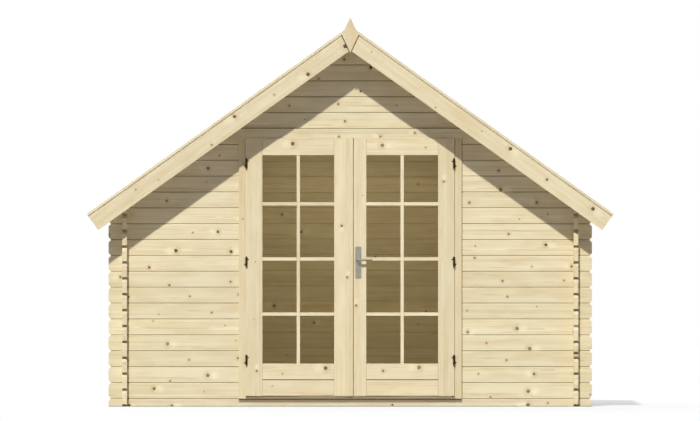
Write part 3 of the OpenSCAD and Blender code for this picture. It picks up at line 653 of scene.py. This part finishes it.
for face, facing in ((plate_low.y + lock_proud, -1), (plate_high.y - lock_proud, 1)):
    collar = [(collar_bore, 0.0), (collar_bore, collar_rise), (collar_rim, collar_rise),
              (collar_shoulder, shoulder_rise), (collar_foot, 0.0)]
    verts = [handle_shape.verts.new((lever_x + reach, face + facing * lift, lever_z))
             for reach, lift in collar]
    edges = [handle_shape.edges.new(pair) for pair in zip(verts, verts[1:] + verts[:1])]
    bmesh.ops.spin(handle_shape, geom=[*verts, *edges], cent=(lever_x, face, lever_z), axis=to_back,
                   angle=2 * math.pi, steps=32, use_merge=True)
    for level in (plate_low.z + plate_screw_inset, plate_high.z - plate_screw_inset):
        nail_head(handle_shape, (lever_x, face, level), (0, facing, 0), plate_screw_radius, plate_screw_rise,
                  plate_screw_sides)
bmesh.ops.remove_doubles(handle_shape, verts=handle_shape.verts, dist=weld_reach)
piece("handle_collars_and_screws", handle_shape, satin_grey, "right_door")


# Purlins and eaves battens
# The ridge purlin and two side purlins lie in notches of the gable walls and run out under both overhangs.
# A batten under the lower ends of the roof boards stiffens each eave.
for lot, node in ((261.0, "ridge_purlin"), (263.0, "left_purlin"), (265.0, "right_purlin"),
                  (267.0, "left_eaves_batten"), (269.0, "right_eaves_batten")):
    clad(node, timber(node + "_spruce", lot, to_back, upwards, middle(node), girth(node, upwards)))


# Roof boards
# Tongued and grooved spruce boards run from the ridge down to the eaves, over purlins and walls.
# Each is nailed twice at every bearing, and the end boards are cut out round the finials.
roof_low, roof_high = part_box("roof_right")
roof_slope = math.radians(35.5)
roof_thickness = 0.019
ridge_height = roof_high.z + roof_low.x * math.tan(roof_slope)
slope_length = (roof_high.x - roof_low.x) / math.cos(roof_slope)
roof_board_count = 36
roof_board = (roof_high.y - roof_low.y) / roof_board_count
ridge_gap = 0.0003
wall_bearing = 1.633
bearings = (0.014, 0.8255, wall_bearing, 1.870)
roof_nail_inset = 0.022
roof_nail_radius = 0.0042
roof_nail_rise = 0.0009
finial_low, finial_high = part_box("front_finial")
finial_room = 0.0008


def onto_roof(shape, mirrored):
    """Turns what was laid out flat from the ridge onto the right slope, or onto the left one."""
    bmesh.ops.rotate(shape, cent=(0, 0, 0), matrix=Matrix.Rotation(roof_slope, 3, "Y"), verts=shape.verts)
    bmesh.ops.translate(shape, vec=(0, 0, ridge_height), verts=shape.verts)
    ridge_cut = bmesh.ops.bisect_plane(shape, geom=[*shape.verts, *shape.edges, *shape.faces],
                                       plane_co=(ridge_gap, 0, 0), plane_no=to_right, clear_inner=True)
    cut_edges = [part for part in ridge_cut["geom_cut"] if isinstance(part, bmesh.types.BMEdge)]
    if cut_edges:
        bmesh.ops.edgeloop_fill(shape, edges=cut_edges)
    if mirrored:
        bmesh.ops.scale(shape, vec=(-1, 1, 1), verts=shape.verts)


# The finials need a lozenge of room at both ends of the ridge
cutter_shape = bmesh.new()
finial_middle = (finial_low.z + finial_high.z) / 2
lozenge = ((finial_low.x - finial_room, finial_middle), (0.0, finial_low.z - 2 * finial_room),
           (finial_high.x + finial_room, finial_middle), (0.0, finial_high.z + 2 * finial_room))
for node in ("front_finial", "back_finial"):
    near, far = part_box(node)
    corners = [cutter_shape.verts.new((x, near.y - finial_room, z)) for x, z in lozenge]
    outline = cutter_shape.faces.new(corners)
    grown = bmesh.ops.extrude_face_region(cutter_shape, geom=[outline])["geom"]
    pulled = [part for part in grown if isinstance(part, bmesh.types.BMVert)]
    bmesh.ops.translate(cutter_shape, vec=(0, far.y - near.y + 2 * finial_room, 0), verts=pulled)
bmesh.ops.recalc_face_normals(cutter_shape, faces=cutter_shape.faces)
cutter_mesh = bpy.data.meshes.new("finial_room")
cutter_shape.to_mesh(cutter_mesh)
cutter_shape.free()
cutter = bpy.data.objects.new("finial_room", cutter_mesh)
bpy.context.scene.collection.objects.link(cutter)

for lot, side, sign in ((301.0, "left", -1), (351.0, "right", 1)):
    boards_shape = bmesh.new()
    nails_shape = bmesh.new()
    for index in range(roof_board_count):
        near = roof_low.y + index * roof_board
        block(boards_shape, (0, near + board_joint, -roof_thickness),
              (slope_length, near + roof_board - board_joint, 0), board_chamfer, to_right)
        for bearing in bearings:
            for edge in (roof_nail_inset, roof_board - roof_nail_inset):
                spot = (bearing / math.cos(roof_slope), near + edge, 0)
                nail_head(nails_shape, spot, upwards, roof_nail_radius, roof_nail_rise)
    onto_roof(boards_shape, sign < 0)
    onto_roof(nails_shape, sign < 0)
    down_slope = Vector((sign * math.cos(roof_slope), 0, -math.sin(roof_slope)))
    roof_wood = timber(side + "_roof_boards_spruce", lot, down_slope, to_back, middle("roof_" + side),
                       roof_board, roof_low.y, knot_share=0.6)
    boards = piece(side + "_roof_boards", boards_shape, roof_wood, "house")
    cut = boards.modifiers.new("finial room", "BOOLEAN")
    cut.operation = "DIFFERENCE"
    cut.solver = "EXACT"
    cut.object = cutter
    bpy.context.view_layer.update()
    boards.data = bpy.data.meshes.new_from_object(boards.evaluated_get(bpy.context.evaluated_depsgraph_get()))
    boards.modifiers.clear()
    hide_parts("roof_" + side)
    piece(side + "_roof_nails", nails_shape, nail_steel, "house")
bpy.data.objects.remove(cutter)


# Bargeboards
# Planed spruce boards screwed to the purlin ends under the edge of the roof, cut square at the eaves.
# At the ridge they are cut back in line with the sides of the finial.
barge_width = 0.125
barge_pale = (0.842, 0.760, 0.512)
for lot, node in ((401.0, "front_left_bargeboard"), (403.0, "front_right_bargeboard"),
                  (405.0, "back_left_bargeboard"), (407.0, "back_right_bargeboard")):
    centre = middle(node)
    sign = math.copysign(1, centre.x)
    down_slope = Vector((sign * math.cos(roof_slope), 0, -math.sin(roof_slope)))
    out_of_roof = Vector((sign * math.sin(roof_slope), 0, math.cos(roof_slope)))
    clad(node, timber(node + "_spruce", lot, down_slope, out_of_roof, centre, barge_width,
                      pale=barge_pale, knot_gap=0.33, knot_size=1.1))

barge_screws = bmesh.new()
screw_bearings = (0.115, 0.8255, 1.640, 1.860)
screw_depths = (0.045, 0.115)
barge_screw_radius = 0.0030
barge_screw_rise = 0.0008
barge_screw_sides = 12
for node, facing in (("front_left_bargeboard", -1), ("back_left_bargeboard", 1)):
    near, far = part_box(node)
    face = near.y if facing < 0 else far.y
    for sign in (-1, 1):
        for bearing in screw_bearings:
            for deep in screw_depths:
                along = bearing / math.cos(roof_slope)
                spot = (sign * (along * math.cos(roof_slope) - deep * math.sin(roof_slope)), face,
                        ridge_height - along * math.sin(roof_slope) - deep * math.cos(roof_slope))
                nail_head(barge_screws, spot, (0, facing, 0), barge_screw_radius, barge_screw_rise,
                          barge_screw_sides)
piece("bargeboard_screws", barge_screws, nail_steel, "house")


# Finials
# A lozenge of spruce closes the joint of the bargeboards at each end of the ridge and rises above the roof.
# Its grain runs upright.
finial_pale = (0.830, 0.715, 0.480)
for lot, node in ((421.0, "front_finial"), (423.0, "back_finial")):
    clad(node, timber(node + "_spruce", lot, upwards, to_right, middle(node), girth(node, to_right),
                      pale=finial_pale, knot_share=0.0))


# Studio
# A plain pale floor and a white surround, with the sun half way up, in front and a little to the left.
# The floor sends light back into the shade under the roof, and a second, very soft sun lights the back.
scene = bpy.context.scene
scene.view_settings.view_transform = "Standard"


def for_the_eye(tree):
    """1 for what the camera sees, straight on or in metal and glass, and 0 for light on its way."""
    path = wire(tree, "LightPath").outputs
    seen = reckon(tree, "MAXIMUM", path["Is Camera Ray"], path["Is Glossy Ray"])
    return reckon(tree, "MAXIMUM", seen, path["Is Transmission Ray"])


floor_reach = 60.0
stage_shape = bmesh.new()
bmesh.ops.create_grid(stage_shape, x_segments=1, y_segments=1, size=floor_reach)
stage_mesh = bpy.data.meshes.new("studio_floor")
stage_shape.to_mesh(stage_mesh)
stage_shape.free()
studio_floor = bpy.data.objects.new("studio_floor", stage_mesh)
scene.collection.objects.link(studio_floor)
floor_paint = bpy.data.materials.new("pale_floor")
floor_paint.use_nodes = True
paint_tree = floor_paint.node_tree
paint_tree.nodes.remove(paint_tree.nodes["Principled BSDF"])
bounce = wire(paint_tree, "BsdfDiffuse", {"Color": (0.47, 0.46, 0.50, 1)})
seen_floor = wire(paint_tree, "BsdfDiffuse", {"Color": (0.98, 0.98, 0.98, 1)})
white = wire(paint_tree, "Emission", {"Color": (1, 1, 1, 1), "Strength": 1.0})
bright = wire(paint_tree, "MixShader", {0: 0.55, 1: seen_floor.outputs[0], 2: white.outputs[0]})
floor_seen = for_the_eye(paint_tree)
paint = wire(paint_tree, "MixShader", {0: floor_seen, 1: bounce.outputs[0], 2: bright.outputs[0]})
paint_tree.links.new(paint.outputs[0], paint_tree.nodes["Material Output"].inputs["Surface"])
stage_mesh.materials.append(floor_paint)

world = bpy.data.worlds.new("white_surround")
scene.world = world
world.use_nodes = True
sky = world.node_tree
ambient = wire(sky, "Background", {"Color": (0.86, 0.88, 1.0, 1), "Strength": 0.20})
surround = wire(sky, "Background", {"Color": (1, 1, 1, 1), "Strength": 1.0})
sky_mix = wire(sky, "MixShader", {0: for_the_eye(sky), 1: ambient.outputs[0], 2: surround.outputs[0]})
sky.links.new(sky_mix.outputs[0], sky.nodes["World Output"].inputs["Surface"])


def sun(name, travel, strength, spread_deg):
    """A lamp far away whose light travels one way."""
    lamp = bpy.data.lights.new(name, "SUN")
    lamp.energy = strength
    lamp.angle = math.radians(spread_deg)
    made = bpy.data.objects.new(name, lamp)
    made.rotation_mode = "QUATERNION"
    made.rotation_quaternion = Vector(travel).to_track_quat("-Z", "Y")
    scene.collection.objects.link(made)


sun("key_sun", travel=(0.15, 1.0, -0.96), strength=3.0, spread_deg=1.8)
sun("back_fill", travel=(0.25, -1.0, -0.45), strength=1.5, spread_deg=70.0)

# A warm lamp under the roof inside keeps the room from going black behind the glass
room_lamp_data = bpy.data.lights.new("room_lamp", "AREA")
room_lamp_data.shape = "RECTANGLE"
room_lamp_data.size = 1.4
room_lamp_data.size_y = 2.4
room_lamp_data.energy = 8.1
room_lamp_data.color = (1.0, 0.90, 0.66)
room_lamp = bpy.data.objects.new("room_lamp", room_lamp_data)
room_lamp.location = (0.0, 0.0, 1.97)
room_lamp.visible_camera = False
room_lamp.visible_glossy = False
room_lamp.visible_transmission = False
scene.collection.objects.link(room_lamp)

photo_width = 700
millimetres_per_pixel = 7.240
front_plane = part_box("front_bottom_log")[0].y
camera_lens = 1000.0
camera_aside = -0.0018
camera_height = 1.4195
view_width = photo_width * millimetres_per_pixel / 1000
camera_data = bpy.data.cameras.new("photo_camera")
camera_data.lens = camera_lens
camera_data.sensor_width = 36.0
camera_away = view_width * camera_lens / camera_data.sensor_width
camera_data.clip_start = 1.0
camera_data.clip_end = 1000.0
camera = bpy.data.objects.new("photo_camera", camera_data)
camera.location = (camera_aside, front_plane - camera_away, camera_height)
camera.rotation_euler = (math.radians(90), 0, 0)
scene.collection.objects.link(camera)
scene.camera = camera
